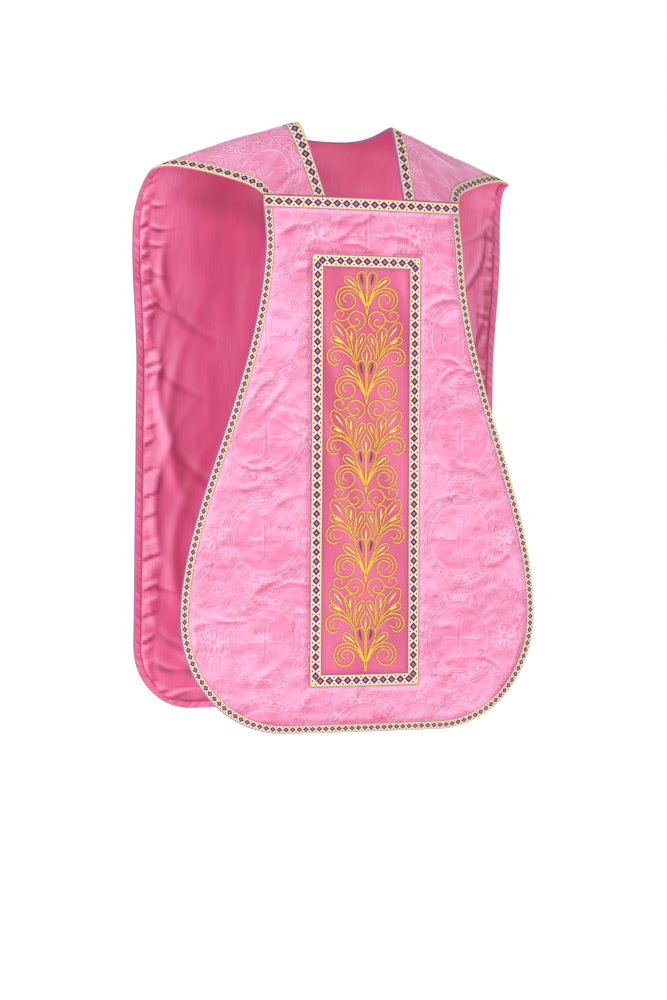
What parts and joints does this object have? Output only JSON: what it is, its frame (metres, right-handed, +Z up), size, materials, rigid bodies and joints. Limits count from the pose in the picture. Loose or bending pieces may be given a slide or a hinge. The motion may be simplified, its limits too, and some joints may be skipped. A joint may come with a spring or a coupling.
{
  "type": "chasuble",
  "caption": "Fiddleback chasuble: stiff damask front and back panels hanging from a shoulder yoke, with satin lining, galloon edging and embroidered orphrey columns.",
  "frame": {"origin": "centre of the neck opening, at the height of the shoulder ridge, where the wearer's shoulders carry the garment", "axes": "+Z up; the wearer faces -Y; +X is the wearer's left"},
  "size_m": [0.6932, 0.2553, 1.0368],
  "materials": {
    "damask": "rose-pink satin damask, soft sheen, tone-on-tone woven roundels",
    "interlining": "undyed stiff canvas",
    "lining_satin": "deep rose satin, glossy folds, top-stitched edge",
    "galloon": "woven braid: white ground, yellow lattice, violet diamonds with gold centres, pale violet selvedges",
    "orphrey_satin": "deep rose satin ground",
    "gold_embroidery": "gold satin-stitch and cord embroidery, metallic sheen"
  },
  "bodies": {
    "yoke": {"armhole_galloon_left": "galloon", "armhole_galloon_right": "galloon", "neck_galloon_back": "galloon", "neck_galloon_left": "galloon", "neck_galloon_right": "galloon", "yoke_face": "damask", "yoke_interlining_left": "interlining", "yoke_interlining_right": "interlining", "yoke_lining": "lining_satin"},
    "front_panel": {"chest_galloon": "galloon", "front_acanthus_1": "gold_embroidery", "front_acanthus_2": "gold_embroidery", "front_acanthus_3": "gold_embroidery", "front_acanthus_4": "gold_embroidery", "front_edge_galloon": "galloon", "front_face": "damask", "front_interlining": "interlining", "front_lining": "lining_satin", "front_orphrey_galloon_bottom": "galloon", "front_orphrey_galloon_left": "galloon", "front_orphrey_galloon_right": "galloon", "front_orphrey_galloon_top": "galloon", "front_orphrey_ground": "orphrey_satin", "front_palmette_1": "gold_embroidery", "front_palmette_2": "gold_embroidery", "front_palmette_3": "gold_embroidery", "front_palmette_4": "gold_embroidery", "front_palmette_5": "gold_embroidery"},
    "back_panel": {"back_acanthus_1": "gold_embroidery", "back_acanthus_2": "gold_embroidery", "back_acanthus_3": "gold_embroidery", "back_acanthus_4": "gold_embroidery", "back_edge_galloon": "galloon", "back_face": "damask", "back_interlining": "interlining", "back_lining": "lining_satin", "back_orphrey_galloon_bottom": "galloon", "back_orphrey_galloon_left": "galloon", "back_orphrey_galloon_right": "galloon", "back_orphrey_galloon_top": "galloon", "back_orphrey_ground": "orphrey_satin", "back_palmette_1": "gold_embroidery", "back_palmette_2": "gold_embroidery", "back_palmette_3": "gold_embroidery", "back_palmette_4": "gold_embroidery", "back_palmette_5": "gold_embroidery"}
  },
  "joints": [
    {"name": "front_swing", "type": "hinge", "parent": "yoke", "child": "front_panel", "pos_m": [0, -0.1015, -0.132], "axis": [-1, 0, 0], "range_deg": [0, 90]},
    {"name": "back_swing", "type": "hinge", "parent": "yoke", "child": "back_panel", "pos_m": [0, 0.126, -0.2], "axis": [1, 0, 0], "range_deg": [0, 90]}
  ]
}
